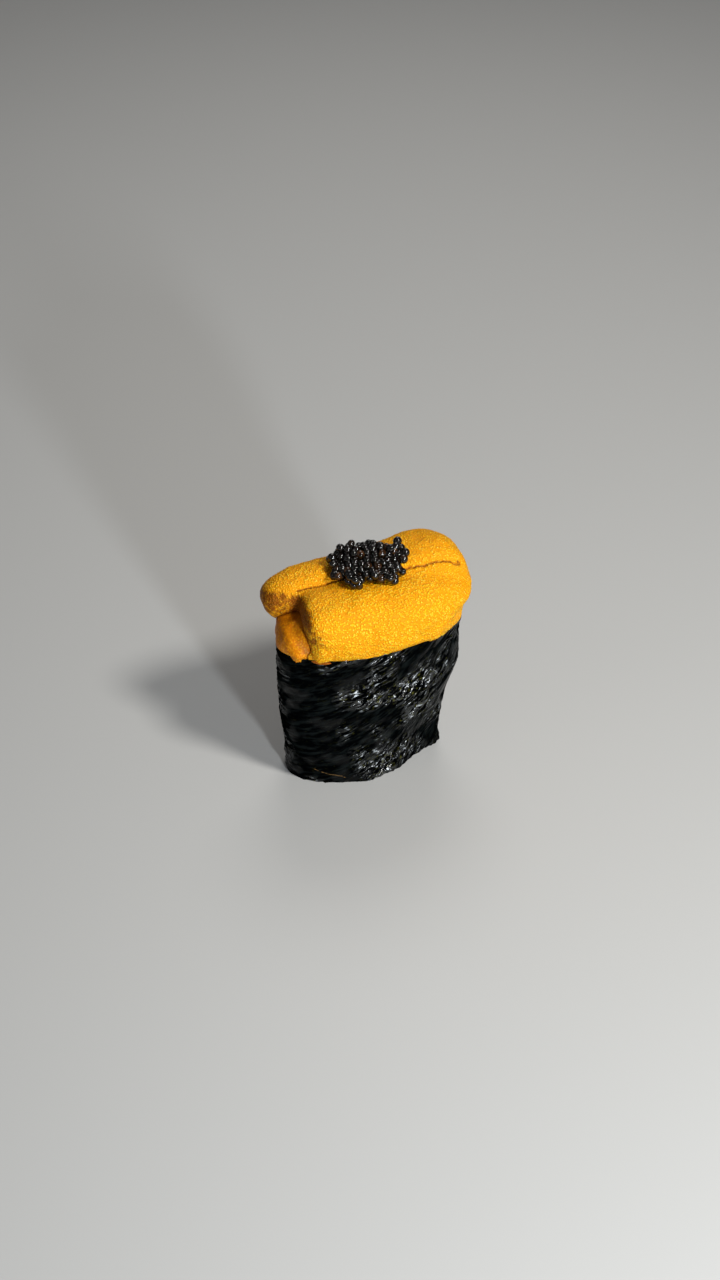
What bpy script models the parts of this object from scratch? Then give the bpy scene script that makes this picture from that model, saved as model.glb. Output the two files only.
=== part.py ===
"""Sea urchin gunkan sushi: rice in a band of seaweed, two tongues of sea urchin and a spoon of caviar.

Lengths below are in millimetres and become metres when a mesh is written. X runs along the piece, its
front faces -Y, and the origin is the middle of the underside.
"""
import math
import random

import bmesh
import bpy
from mathutils import Matrix, Vector, noise
from mathutils.bvhtree import BVHTree

MM = 0.001

# Clearance between two pieces that touch.
GAP = 0.3

# Seaweed band. Its strip is a fifth of a 210 mm sheet high, and one end is glued over the other.
NORI_HEIGHT = 42.0
NORI_WALL = 0.4
NORI_COLUMNS = 60
NORI_ROWS = 9
BAND_HEIGHTS = [NORI_HEIGHT * row / NORI_ROWS for row in range(NORI_ROWS + 1)]
SEAM_START = math.radians(112.0)
SEAM_EDGE = math.radians(1.2)
SEAM_FADE = (math.radians(12.0), math.radians(48.0))

# How far the band reaches from the origin, at its foot and at its rim.
REACH_RIGHT = (21.8, 26.9)
REACH_LEFT = (22.4, 23.8)
REACH_FRONT = (12.3, 12.6)
REACH_BACK = (12.8, 13.6)

# Where fingers pressed the band: angle in degrees, height, spread in degrees, spread in height, depth.
PRESSES = (
    (-47.0, 2.0, 29.0, 24.0, 3.5),
    (-120.0, 27.0, 14.0, 7.0, 0.7),
    (-100.0, 13.0, 13.0, 6.0, 0.8),
    (-62.0, 23.0, 18.0, 5.0, -0.7),
    (75.0, 18.0, 26.0, 12.0, 1.1),
    (178.0, 10.0, 16.0, 13.0, 0.9),
    (20.0, 14.0, 16.0, 10.0, 0.7),
)
FLARE_HEIGHTS = (13.4, 34.4)
BELLY_HEIGHTS = (0.0, 21.0)
RUMPLE_DEPTH = 0.44
RUMPLE_WAVE = (6.2, 6.2, 5.0)

# Rice, pressed flush with the band's foot and rim, with small gaps between the grains underneath.
RICE_PITS = 36
PIT_SIDES = 5
PIT_WIDTH = (1.1, 2.0)
PIT_DEPTH = 0.7
PIT_TAPER = 0.3
PIT_STRETCH = (1.3, 0.8)
PIT_FIELD = (18.3, 8.1)

# Sea urchin. Each station of a roll is x, y, z, half width and half height.
SEAT = NORI_HEIGHT + GAP
FRONT_ROLL = (
    (-17.2, -3.0, 48.4, 6.4, 6.0),
    (-15.2, -2.4, 47.4, 10.1, 9.5),
    (-6.0, -1.7, 46.7, 11.8, 10.3),
    (5.0, -1.4, 46.5, 12.0, 10.4),
    (15.0, -1.1, 46.6, 11.6, 10.2),
    (23.5, 0.2, 46.8, 9.2, 8.9),
    (30.0, 0.8, 46.8, 4.8, 5.2),
)
BACK_ROLL = (
    (-25.6, 8.6, 50.8, 3.6, 3.6),
    (-20.5, 9.2, 50.4, 6.2, 6.4),
    (-10.0, 9.0, 49.0, 8.4, 9.6),
    (2.0, 8.4, 48.4, 8.9, 9.8),
    (11.0, 8.2, 49.6, 9.9, 10.5),
    (20.5, 8.0, 51.4, 10.9, 11.0),
    (27.0, 6.4, 50.4, 9.0, 9.4),
    (30.6, 4.6, 48.6, 5.2, 5.8),
)
UNDER_ROLL = (
    (-23.9, 0.2, 43.2, 4.6, 3.0),
    (-21.8, 0.4, 44.0, 7.0, 5.0),
    (-15.0, 0.8, 45.0, 8.6, 5.2),
    (-7.0, 1.0, 44.0, 7.0, 3.4),
)
DRIP_CENTRE = (-19.8, -4.9, 42.4)
DRIP_HALF = (2.7, 3.6, 3.6)
LUMP_SUBDIVISIONS = 3
ROLL_SIDES = 12
ROLL_SQUARENESS = 2.5
SOFT_LEVELS = 2
VOXEL = 0.8
SMOOTH_STEPS = 6
UNEVEN_DEPTH = 0.6
UNEVEN_WAVE = 7.0
TONGUE_TRIANGLES = 2600
UNDER_TRIANGLES = 800

# The crease along the tongue's top, as x and y of its ends and bends.
CREASE = ((-15.6, 3.4), (-10.0, 3.2), (0.0, 2.6), (10.0, 1.0), (17.0, -0.4), (21.5, 0.2), (25.8, 0.9))
CREASE_STEPS = 4
CREASE_DEPTH = 0.9
CREASE_REACH = 2.6
CREASE_SLOPE = 0.5

# Caviar mound on the crease and its eggs.
MOUND_CENTRE = (2.6, 3.6)
MOUND_HALF = (10.6, 8.2)
MOUND_TURN = math.radians(-16.0)
MOUND_RISE = 5.6
MOUND_SWELL = 0.7
EGG_RADIUS = (1.05, 1.3)
EGG_COUNT = 88
EGG_STRAY = 0.4
EGG_CLEARANCE = 0.2
EGG_SEGMENTS = 5
EGG_RINGS = 4
CORE_INSET = 1.3
CORE_SINK = 1.3
CORE_RISE = 0.6

# Edges that turn more than this stay sharp.
SHARP_ANGLE = math.radians(40.0)

# Colour, roughness and metallic value of each piece.
FINISHES = {
    "nori": ((0.008, 0.012, 0.010), 0.35, 0.0),
    "rice": ((0.80, 0.78, 0.70), 0.45, 0.0),
    "uni_tongue": ((0.88, 0.36, 0.02), 0.42, 0.0),
    "uni_lower_tongue": ((0.78, 0.27, 0.015), 0.36, 0.0),
    "caviar": ((0.012, 0.008, 0.006), 0.12, 0.0),
}


def new_collection(name):
    collection = bpy.data.collections.new(name)
    bpy.context.scene.collection.children.link(collection)
    return collection


def finish_material(name):
    colour, roughness, metallic = FINISHES[name]
    material = bpy.data.materials.new(name)
    material.use_nodes = True
    shader = material.node_tree.nodes["Principled BSDF"]
    shader.inputs["Base Color"].default_value = (*colour, 1.0)
    shader.inputs["Roughness"].default_value = roughness
    shader.inputs["Metallic"].default_value = metallic
    return material


def add_mesh_object(name, bm, collection):
    """Write a bmesh in millimetres as an object in metres."""
    bmesh.ops.scale(bm, vec=(MM, MM, MM), verts=bm.verts)
    mesh = bpy.data.meshes.new(name)
    bm.to_mesh(mesh)
    bm.free()
    obj = bpy.data.objects.new(name, mesh)
    collection.objects.link(obj)
    return obj


def remove_objects(objects):
    for obj in objects:
        bpy.data.objects.remove(obj, do_unlink=True)


def mark_cutter(obj):
    obj.hide_render = True
    obj.display_type = "WIRE"


def bake(obj):
    """Replace an object's mesh by its evaluated one and drop its modifiers."""
    depsgraph = bpy.context.evaluated_depsgraph_get()
    mesh = bpy.data.meshes.new_from_object(obj.evaluated_get(depsgraph))
    obj.modifiers.clear()
    obj.data = mesh


def combine(obj, others, operation):
    """One Boolean of an object with a collection of others, which is then emptied."""
    operands = bpy.data.collections.new(obj.name + "_operands")
    bpy.context.scene.collection.children.link(operands)
    for other in others:
        operands.objects.link(other)
    modifier = obj.modifiers.new(operation, "BOOLEAN")
    modifier.operation = operation
    modifier.operand_type = "COLLECTION"
    modifier.collection = operands
    modifier.solver = "MANIFOLD"
    bake(obj)
    bpy.data.collections.remove(operands)


def keep_outer_shell(obj):
    """Fill sealed hollows and drop loose scraps by keeping only the largest shell."""
    bm = bmesh.new()
    bm.from_mesh(obj.data)
    unseen = set(bm.verts)
    shells = []
    while unseen:
        shell = {unseen.pop()}
        edge = list(shell)
        while edge:
            vertex = edge.pop()
            near = {link.other_vert(vertex) for link in vertex.link_edges} - shell
            shell |= near
            edge.extend(near)
        unseen -= shell
        shells.append(shell)
    largest = max(shells, key=len)
    spare = [vertex for shell in shells if shell is not largest for vertex in shell]
    bmesh.ops.delete(bm, geom=spare, context="VERTS")
    bm.to_mesh(obj.data)
    bm.free()


def smooth_step(value, low, high):
    share = min(1.0, max(0.0, (value - low) / (high - low)))
    return share * share * (3.0 - 2.0 * share)


def mix(pair, share):
    return pair[0] + (pair[1] - pair[0]) * share


def spiral_spots(count, half_size):
    """Spots spread evenly over an ellipse, from its middle outwards."""
    golden_turn = math.pi * (3.0 - math.sqrt(5.0))
    spots = []
    for number in range(count):
        share = math.sqrt((number + 0.5) / count)
        angle = number * golden_turn
        spots.append(Vector((half_size[0] * share * math.cos(angle), half_size[1] * share * math.sin(angle))))
    return spots


def turn_between(angle, centre):
    """Signed turn in radians from one angle to another."""
    return (angle - centre + math.pi) % (2.0 * math.pi) - math.pi


def band_point(angle, height, offset):
    """A point on the band's outer face, moved out by the offset."""
    share = height / NORI_HEIGHT
    flare = smooth_step(height, *FLARE_HEIGHTS)
    belly = smooth_step(height, *BELLY_HEIGHTS)
    reach_x = mix(REACH_RIGHT, flare) if math.cos(angle) > 0.0 else mix(REACH_LEFT, belly)
    reach_y = mix(REACH_BACK, share) if math.sin(angle) > 0.0 else mix(REACH_FRONT, share)
    point = Vector((reach_x * math.cos(angle), reach_y * math.sin(angle), height))
    normal = Vector((math.cos(angle) / reach_x, math.sin(angle) / reach_y, 0.0)).normalized()
    for centre, middle, spread, rise, depth in PRESSES:
        across = turn_between(angle, math.radians(centre)) / math.radians(spread)
        up = (height - middle) / rise
        offset -= depth * math.exp(-across * across - up * up)
    place = Vector(length / wave for length, wave in zip(point, RUMPLE_WAVE))
    offset += RUMPLE_DEPTH * noise.noise(place)
    return point + normal * offset


def band_angles():
    """Even angles round the band, with two close together at the strip's outer end."""
    angles = [2.0 * math.pi * step / NORI_COLUMNS for step in range(NORI_COLUMNS)]
    spacing = 2.0 * math.pi / NORI_COLUMNS
    angles = [angle for angle in angles if abs(turn_between(angle, SEAM_START)) > 0.5 * spacing]
    return sorted(angles + [SEAM_START - SEAM_EDGE, SEAM_START])


def seam_step(angle):
    """How far the overlapping end of the strip stands proud, fading where the inner end runs out."""
    turn = turn_between(angle, SEAM_START)
    if turn < -0.5 * SEAM_EDGE:
        return 0.0
    return NORI_WALL * (1.0 - smooth_step(turn, *SEAM_FADE))


def ring_verts(bm, height, offset_at):
    return [bm.verts.new(band_point(angle, height, offset_at(angle))) for angle in band_angles()]


def bridge_rings(bm, first, second):
    count = len(first)
    for step in range(count):
        after = (step + 1) % count
        bm.faces.new((first[step], first[after], second[after], second[step]))


def build_nori(collection):
    bm = bmesh.new()
    outer = [ring_verts(bm, height, seam_step) for height in BAND_HEIGHTS]
    inner = [ring_verts(bm, height, lambda angle: -NORI_WALL) for height in BAND_HEIGHTS]
    for low, high in zip(outer, outer[1:]):
        bridge_rings(bm, low, high)
    for low, high in zip(inner, inner[1:]):
        bridge_rings(bm, high, low)
    bridge_rings(bm, inner[0], outer[0])
    bridge_rings(bm, outer[-1], inner[-1])
    return add_mesh_object("nori", bm, collection)


def band_filler(name, heights, offset_at, collection):
    """A closed solid that follows the band through the given heights."""
    bm = bmesh.new()
    rings = [ring_verts(bm, height, offset_at) for height in heights]
    for low, high in zip(rings, rings[1:]):
        bridge_rings(bm, low, high)
    bm.faces.new(reversed(rings[0]))
    bm.faces.new(rings[-1])
    return add_mesh_object(name, bm, collection)


def build_rice(collection):
    rice = band_filler("rice", BAND_HEIGHTS, lambda angle: -NORI_WALL - GAP, collection)
    draw = random.Random(4)
    pits = []
    for spot in spiral_spots(RICE_PITS, PIT_FIELD):
        radius = 0.5 * draw.uniform(*PIT_WIDTH)
        bm = bmesh.new()
        bmesh.ops.create_cone(bm, cap_ends=True, segments=PIT_SIDES, radius1=radius,
                              radius2=PIT_TAPER * radius, depth=2.0 * PIT_DEPTH)
        turn = Matrix.Rotation(draw.uniform(0.0, math.pi), 4, "Z")
        stretch = Matrix.Diagonal((*PIT_STRETCH, 1.0, 1.0))
        bmesh.ops.transform(bm, matrix=Matrix.Translation(spot.to_3d()) @ turn @ stretch, verts=bm.verts)
        pits.append(add_mesh_object("pit", bm, collection))
    combine(rice, pits, "DIFFERENCE")
    remove_objects(pits)
    return rice


def squared(value):
    """Bend a sine or cosine so that a circle becomes a rounded square."""
    return math.copysign(abs(value) ** (2.0 / ROLL_SQUARENESS), value)


def build_roll(name, stations, collection):
    """A soft closed roll: rounded square rings at the stations, capped and subdivided.

    Subdividing pulls a ring in by a known share, so the cage is drawn that much larger.
    """
    bm = bmesh.new()
    shrink = (2.0 + math.cos(2.0 * math.pi / ROLL_SIDES)) / 3.0
    rings = []
    for x, y, z, half_width, half_height in stations:
        ring = []
        for side in range(ROLL_SIDES):
            angle = 2.0 * math.pi * side / ROLL_SIDES
            across = squared(math.cos(angle)) * half_width / shrink
            up = squared(math.sin(angle)) * half_height / shrink
            ring.append(bm.verts.new((x, y + across, z + up)))
        rings.append(ring)
    for first, second in zip(rings, rings[1:]):
        bridge_rings(bm, first, second)
    bm.faces.new(reversed(rings[0]))
    bm.faces.new(rings[-1])
    bmesh.ops.recalc_face_normals(bm, faces=bm.faces)
    roll = add_mesh_object(name, bm, collection)
    soft = roll.modifiers.new("soft", "SUBSURF")
    soft.levels = SOFT_LEVELS
    soft.render_levels = SOFT_LEVELS
    bake(roll)
    return roll


def build_lump(name, centre, half_size, turn, collection):
    """An egg-shaped lump, turned about the upright axis."""
    bm = bmesh.new()
    bmesh.ops.create_icosphere(bm, subdivisions=LUMP_SUBDIVISIONS, radius=1.0)
    shape = Matrix.Rotation(turn, 4, "Z") @ Matrix.Diagonal((*half_size, 1.0))
    bmesh.ops.transform(bm, matrix=Matrix.Translation(centre) @ shape, verts=bm.verts)
    return add_mesh_object(name, bm, collection)


def melt(obj, triangles):
    """Melt fused rolls into one soft form with about the given number of triangles."""
    remesh = obj.modifiers.new("remesh", "REMESH")
    remesh.mode = "VOXEL"
    remesh.voxel_size = VOXEL * MM
    smooth = obj.modifiers.new("smooth", "SMOOTH")
    smooth.factor = 0.5
    smooth.iterations = SMOOTH_STEPS
    bake(obj)
    normals = [vertex.normal.copy() for vertex in obj.data.vertices]
    for vertex, normal in zip(obj.data.vertices, normals):
        swell = noise.noise(vertex.co / (UNEVEN_WAVE * MM))
        vertex.co += normal * swell * UNEVEN_DEPTH * MM
    thin = obj.modifiers.new("thin", "DECIMATE")
    thin.ratio = triangles / (2.0 * len(obj.data.polygons))
    bake(obj)


def grown_copy(obj, distance, name, collection):
    """A copy of a form, grown along its normals, to cut a neighbour with."""
    copy = bpy.data.objects.new(name, obj.data.copy())
    collection.objects.link(copy)
    for vertex, normal in zip(copy.data.vertices, [v.normal.copy() for v in obj.data.vertices]):
        vertex.co += normal * distance * MM
    mark_cutter(copy)
    return copy


def surface_height(tree, spot):
    """Height of a form's top over a spot, in millimetres."""
    above = Vector((spot.x * MM, spot.y * MM, 2.0 * SEAT * MM))
    return tree.ray_cast(above, Vector((0.0, 0.0, -1.0)))[0].z / MM


def crease_route():
    """Points along a smooth line through the crease's bends."""
    bends = [Vector(bend) for bend in CREASE]
    bends = [2.0 * bends[0] - bends[1], *bends, 2.0 * bends[-1] - bends[-2]]
    route = []
    for before, start, end, after in zip(bends, bends[1:], bends[2:], bends[3:]):
        for step in range(CREASE_STEPS):
            t = step / CREASE_STEPS
            bend = 2.0 * start + (end - before) * t
            bend += (2.0 * before - 5.0 * start + 4.0 * end - after) * t * t
            bend += (3.0 * start - before - 3.0 * end + after) * t ** 3
            route.append(0.5 * bend)
    return [*route, bends[-2]]


def build_crease_cutter(tongue, collection):
    """A long wedge that stands in the tongue's top with its edge down."""
    tree = BVHTree.FromObject(tongue, bpy.context.evaluated_depsgraph_get())
    half_width = CREASE_SLOPE * (CREASE_DEPTH + CREASE_REACH)
    bm = bmesh.new()
    rings = []
    for spot in crease_route():
        height = surface_height(tree, spot)
        corners = ((-half_width, CREASE_REACH), (half_width, CREASE_REACH), (0.0, -CREASE_DEPTH))
        rings.append([bm.verts.new((spot.x, spot.y + across, height + up)) for across, up in corners])
    for first, second in zip(rings, rings[1:]):
        bridge_rings(bm, first, second)
    bm.faces.new(reversed(rings[0]))
    bm.faces.new(rings[-1])
    bmesh.ops.recalc_face_normals(bm, faces=bm.faces)
    cutter = add_mesh_object("crease_cutter", bm, collection)
    mark_cutter(cutter)
    return cutter


def mound_height(spot):
    """Rise of the eggs' centres over the tongue, for a spot measured from the mound's middle."""
    out = (spot.x / MOUND_HALF[0]) ** 2 + (spot.y / MOUND_HALF[1]) ** 2
    return MOUND_RISE * max(0.0, 1.0 - out) ** MOUND_SWELL


def build_caviar(tongue, collection):
    """A core under a layer of eggs, each egg a coarse ball, all fused."""
    tree = BVHTree.FromObject(tongue, bpy.context.evaluated_depsgraph_get())
    middle = Vector(MOUND_CENTRE)
    centre = Vector((*MOUND_CENTRE, surface_height(tree, middle) - CORE_SINK))
    half_size = (MOUND_HALF[0] - CORE_INSET, MOUND_HALF[1] - CORE_INSET, MOUND_RISE + CORE_RISE)
    caviar = build_lump("caviar", centre, half_size, MOUND_TURN, collection)
    draw = random.Random(12)
    eggs = []
    for spot in spiral_spots(EGG_COUNT, MOUND_HALF):
        spot += Vector((draw.uniform(-EGG_STRAY, EGG_STRAY), draw.uniform(-EGG_STRAY, EGG_STRAY)))
        radius = draw.uniform(*EGG_RADIUS)
        rise = max(radius + EGG_CLEARANCE, mound_height(spot) + draw.uniform(-EGG_STRAY, EGG_STRAY))
        place = middle + Matrix.Rotation(MOUND_TURN, 2) @ spot
        centre = Vector((*place, surface_height(tree, place) + rise))
        bm = bmesh.new()
        bmesh.ops.create_uvsphere(bm, u_segments=EGG_SEGMENTS, v_segments=EGG_RINGS, radius=radius)
        turn = Matrix.Rotation(draw.uniform(0.0, math.pi), 4, "X")
        turn @= Matrix.Rotation(draw.uniform(0.0, math.pi), 4, "Y")
        bmesh.ops.transform(bm, matrix=Matrix.Translation(centre) @ turn, verts=bm.verts)
        eggs.append(add_mesh_object("egg", bm, collection))
    combine(caviar, eggs, "UNION")
    keep_outer_shell(caviar)
    remove_objects(eggs)
    return caviar


remove_objects(list(bpy.data.objects))
sushi = new_collection("sea_urchin_gunkan_sushi")
cutters = new_collection("cutters")

nori = build_nori(sushi)
rice = build_rice(sushi)

band_cutter = band_filler("band_cutter", [*BAND_HEIGHTS, SEAT], lambda angle: seam_step(angle) + GAP, cutters)
mark_cutter(band_cutter)

under = build_roll("uni_lower_tongue", UNDER_ROLL, sushi)
drip = build_lump("drip", DRIP_CENTRE, DRIP_HALF, 0.0, cutters)
combine(under, [drip], "UNION")
remove_objects([drip])
melt(under, UNDER_TRIANGLES)
under_cutter = grown_copy(under, GAP, "under_cutter", cutters)
combine(under, [band_cutter], "DIFFERENCE")

tongue = build_roll("uni_tongue", FRONT_ROLL, sushi)
back_roll = build_roll("back_roll", BACK_ROLL, cutters)
combine(tongue, [back_roll], "UNION")
remove_objects([back_roll])
melt(tongue, TONGUE_TRIANGLES)
tongue_cutter = grown_copy(tongue, GAP, "tongue_cutter", cutters)
caviar = build_caviar(tongue, sushi)
combine(caviar, [tongue_cutter], "DIFFERENCE")
keep_outer_shell(caviar)
crease_wedge = build_crease_cutter(tongue, cutters)
combine(tongue, [band_cutter, under_cutter, crease_wedge], "DIFFERENCE")
keep_outer_shell(tongue)
keep_outer_shell(under)

for piece in (nori, rice, under, tongue, caviar):
    piece.data.materials.clear()
    piece.data.materials.append(finish_material(piece.name))
    piece.data.shade_smooth()
    piece.data.set_sharp_from_angle(angle=SHARP_ANGLE)
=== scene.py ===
"""The looks of a sea urchin gunkan sushi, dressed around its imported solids.

Sizes are in millimetres, and become metres when a mesh is written.
"""
import math

import bmesh
import bpy
import numpy as np
from mathutils import Euler, Matrix, Vector, noise
from mathutils.bvhtree import BVHTree


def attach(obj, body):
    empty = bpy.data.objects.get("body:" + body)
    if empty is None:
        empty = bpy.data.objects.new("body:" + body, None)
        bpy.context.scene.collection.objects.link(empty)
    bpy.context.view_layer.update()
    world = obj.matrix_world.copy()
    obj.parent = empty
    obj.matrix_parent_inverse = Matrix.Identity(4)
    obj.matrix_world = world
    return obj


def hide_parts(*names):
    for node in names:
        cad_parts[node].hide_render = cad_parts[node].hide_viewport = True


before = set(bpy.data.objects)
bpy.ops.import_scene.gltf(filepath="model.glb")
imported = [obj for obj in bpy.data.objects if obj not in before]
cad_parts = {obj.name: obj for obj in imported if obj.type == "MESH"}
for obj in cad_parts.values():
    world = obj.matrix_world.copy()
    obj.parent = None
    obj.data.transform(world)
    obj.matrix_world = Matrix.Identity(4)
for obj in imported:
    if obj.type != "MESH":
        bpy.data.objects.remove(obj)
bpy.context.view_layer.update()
MM = 0.001


# Seaweed band
# One strip of toasted seaweed, damp from the rice, wound once round it and stuck down at the back, where its
# outer end laps over its start. It is crinkled all over, and its long sides keep the dents of the fingers.
BAND_COLUMNS = 470
BAND_ROWS = 168
BAND_WALL = 0.35
BAND_WALL_ROWS = 8
BAND_MERGE = 0.01
FOLD_WAVE = 4.2
FOLD_DEPTH = 0.62
STREAK_WAVE = (3.8, 1.4)
STREAK_DEPTH = 0.55
PUCKER_WAVE = 1.3
PUCKER_DEPTH = 0.24
RUMPLE_WAVE = 9.0
RUMPLE_LEVEL = 0.36
RUMPLE_RANGE = (0.12, 1.4)
RUMPLES = (
    (42.0, 31.0, 4.0, 2.2, 0.8), (46.0, 27.5, 3.5, 3.0, 1.1), (51.5, 27.5, 4.0, 2.6, 1.1),
    (57.5, 29.0, 4.5, 2.6, 1.0), (49.0, 15.5, 3.0, 3.2, 0.7), (45.0, 10.5, 4.0, 2.4, 0.4),
    (52.0, 9.5, 3.0, 3.0, 0.5), (50.5, 2.0, 4.0, 2.0, 0.6), (61.0, 19.0, 4.5, 7.0, 0.5),
    (42.5, 22.5, 3.8, 3.2, -0.8), (37.5, 36.0, 3.5, 4.0, -0.2), (33.0, 14.0, 5.0, 10.0, -0.3), (29.0, 24.0, 6.0, 18.0, -0.45),
    (53.0, 20.5, 3.0, 1.8, -0.5),
)
SWELLS = ((70.0, 25.0, 12.0, 6.0, 0.8), (70.0, 17.5, 12.0, 6.5, 1.2), (70.0, 35.5, 10.0, 4.0, -0.6))
THREAD_MIDDLE = 35.5
THREAD_SLOPE = -0.36
THREAD_LEVEL = 14.8
THREAD_WAVER = 2.4
RIM_FADE = 3.0
RIM_RAGGED = 0.12
FIBRE_SLOPE = (0.65, 0.45)
FIBRE_PHASE = 0.425


def merged_copy(node_name):
    """A frame node's solid in millimetres, with its loose triangles joined."""
    bm = bmesh.new()
    bm.from_mesh(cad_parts[node_name].data)
    bmesh.ops.scale(bm, vec=(1.0 / MM, 1.0 / MM, 1.0 / MM), verts=bm.verts)
    bmesh.ops.remove_doubles(bm, verts=bm.verts, dist=BAND_MERGE)
    bm.normal_update()
    return bm


def spline(points, places):
    """Points of a smooth curve through a row of points, at places counted in steps of that row."""
    ends = 2.0 * points[:1] - points[1:2], 2.0 * points[-1:] - points[-2:-1]
    points = np.concatenate([ends[0], points, ends[1]])
    step = np.minimum(places.astype(int), len(points) - 4)
    t = (places - step).reshape(-1, *[1] * (points.ndim - 1))
    before, start, end, after = (points[step + shift] for shift in range(4))
    bend = 2.0 * start + (end - before) * t
    bend += (2.0 * before - 5.0 * start + 4.0 * end - after) * t ** 2
    return 0.5 * (bend + (3.0 * start - before - 3.0 * end + after) * t ** 3)


def band_rings():
    """The outer face of the frame's band, as rings of points that start at the strip's outer end."""
    bm = merged_copy("nori")
    rings = {}
    for vertex in bm.verts:
        if vertex.normal.xy.dot(vertex.co.xy) > 0.0:
            rings.setdefault(round(vertex.co.z), []).append(np.array(vertex.co))
    bm.free()
    table = []
    for height in sorted(rings):
        ring = np.array(sorted(rings[height], key=lambda point: math.atan2(point[1], point[0])))
        spacing = np.linalg.norm(ring - np.roll(ring, 1, axis=0), axis=1)
        table.append(np.roll(ring, -int(np.argmin(spacing)), axis=0))
    return np.array(table)


def band_grid(columns, rows):
    """The band's outer face as an even grid of points, its outward directions and its length round."""
    table = band_rings()
    middle = table[len(table) // 2]
    lengths = np.concatenate([[0.0], np.cumsum(np.linalg.norm(np.diff(middle, axis=0), axis=1))])
    places = np.interp(np.linspace(0.0, lengths[-1], columns), lengths, np.arange(len(middle)))
    grid = spline(table, np.linspace(0.0, len(table) - 1.0, rows))
    grid = spline(grid.transpose(1, 0, 2), places).transpose(1, 0, 2)
    out = np.cross(np.gradient(grid, axis=1), np.gradient(grid, axis=0))
    return grid, out / np.linalg.norm(out, axis=2, keepdims=True), lengths[-1]


def fibre_place(along, up, girth):
    """A place on the strip, counted along and across its fibres, which lie steeper towards the right."""
    turn = 2.0 * math.pi * (along / girth - FIBRE_PHASE)
    rise = FIBRE_SLOPE[0] * along - FIBRE_SLOPE[1] * girth / (2.0 * math.pi) * math.cos(turn)
    return along, up - rise


def summed(spots, along, up):
    """The sum at a place of soft round spots, each given by its place, its two half widths and its size."""
    return sum(size * math.exp(-((along - spot) / length) ** 2 - ((up - height) / width) ** 2)
               for spot, height, length, width, size in spots)


def rumpling(along, up):
    """How strongly the strip is crinkled at a place: rough where it was gathered, calm in the dents."""
    level = RUMPLE_LEVEL + 0.8 * noise.noise(Vector((along, up, 0.0)) / RUMPLE_WAVE)
    return min(max(level + summed(RUMPLES, along, up), RUMPLE_RANGE[0]), RUMPLE_RANGE[1])


def crinkle(along, up, girth):
    """How far the damp strip stands in or out at a place on it, where it is rumpled by one."""
    flat = Vector((along, up, 0.0))
    bent = flat + 1.6 * noise.noise_vector(flat / FOLD_WAVE)
    fold = 1.0 - 2.4 * abs(noise.noise(bent / FOLD_WAVE))
    fibre = fibre_place(bent.x, bent.y, girth)
    streak = 1.0 - 2.8 * abs(noise.noise(Vector((fibre[0] / STREAK_WAVE[0], fibre[1] / STREAK_WAVE[1], 7.0))))
    pucker = noise.noise(bent / PUCKER_WAVE)
    return FOLD_DEPTH * (fold - 0.4) + STREAK_DEPTH * (streak - 0.4) + PUCKER_DEPTH * pucker


def ring_faces(first, second, columns):
    """Quads between two rings of vertices, given by the number of each ring's first vertex."""
    return [(first + step, first + (step + 1) % columns, second + (step + 1) % columns, second + step)
            for step in range(columns)]


def add_object(name, mesh):
    made = bpy.data.objects.new(name, mesh)
    bpy.context.scene.collection.objects.link(made)
    return made


def mesh_from(name, points, faces):
    """A mesh in metres from points in millimetres."""
    mesh = bpy.data.meshes.new(name)
    mesh.from_pydata((np.asarray(points) * MM).tolist(), [], faces)
    mesh.update()
    return mesh


def store(mesh, name, kind, values):
    """Keep one value for each vertex, for a material to read."""
    field = "vector" if kind == "FLOAT_VECTOR" else "value"
    mesh.attributes.new(name, kind, "POINT").data.foreach_set(field, np.asarray(values, np.float32).ravel())


def build_band():
    grid, out, girth = band_grid(BAND_COLUMNS, BAND_ROWS)
    height = grid[-1, 0, 2]
    fibres = np.zeros_like(grid)
    rumpled = np.zeros(grid.shape[:2])
    for row in range(BAND_ROWS):
        for column in range(BAND_COLUMNS):
            along = girth * column / (BAND_COLUMNS - 1)
            up = height * row / (BAND_ROWS - 1)
            rumpled[row, column] = rumpling(along, up)
            depth = rumpled[row, column] * min(1.0, 0.3 + (height - up) / RIM_FADE)
            depth = crinkle(along, up, girth) * depth + summed(SWELLS, along, up)
            grid[row, column] += out[row, column] * depth
            fibres[row, column] = (*fibre_place(along, up, girth), up)
    ragged = [RIM_RAGGED * noise.noise(Vector((girth * column / BAND_COLUMNS, 0.0, 0.0)))
              for column in range(BAND_COLUMNS)]
    grid[-1, :, 2] += ragged
    grid[0, :, 2] += np.abs(ragged)
    wall_rows = np.linspace(BAND_ROWS - 1, 0, BAND_WALL_ROWS).astype(int)
    wall = (grid - out * BAND_WALL)[wall_rows]
    grid[:, :, 2] = np.maximum(grid[:, :, 2], 0.0)
    wall[:, :, 2] = np.maximum(wall[:, :, 2], 0.0)
    points = np.concatenate([grid.reshape(-1, 3), wall.reshape(-1, 3)])
    rings = [row * BAND_COLUMNS for row in range(BAND_ROWS + BAND_WALL_ROWS)]
    faces = []
    for first, second in zip(rings, [*rings[1:], rings[0]]):
        faces += ring_faces(first, second, BAND_COLUMNS)
    mesh = mesh_from("nori_band", points, faces)
    store(mesh, "fibre", "FLOAT_VECTOR", np.concatenate([fibres, fibres[wall_rows]]))
    store(mesh, "rumple", "FLOAT", np.concatenate([rumpled, rumpled[wall_rows]]))
    return add_object("nori_band", mesh)


def add_node(tree, kind, inputs=None, **settings):
    """A node with its settings made, and its inputs filled with values or with other nodes' outputs."""
    made = tree.nodes.new(kind)
    for name, value in settings.items():
        setattr(made, name, value)
    for name, value in (inputs or {}).items():
        if isinstance(value, bpy.types.NodeSocket):
            tree.links.new(value, made.inputs[name])
        else:
            made.inputs[name].default_value = value
    return made


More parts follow.
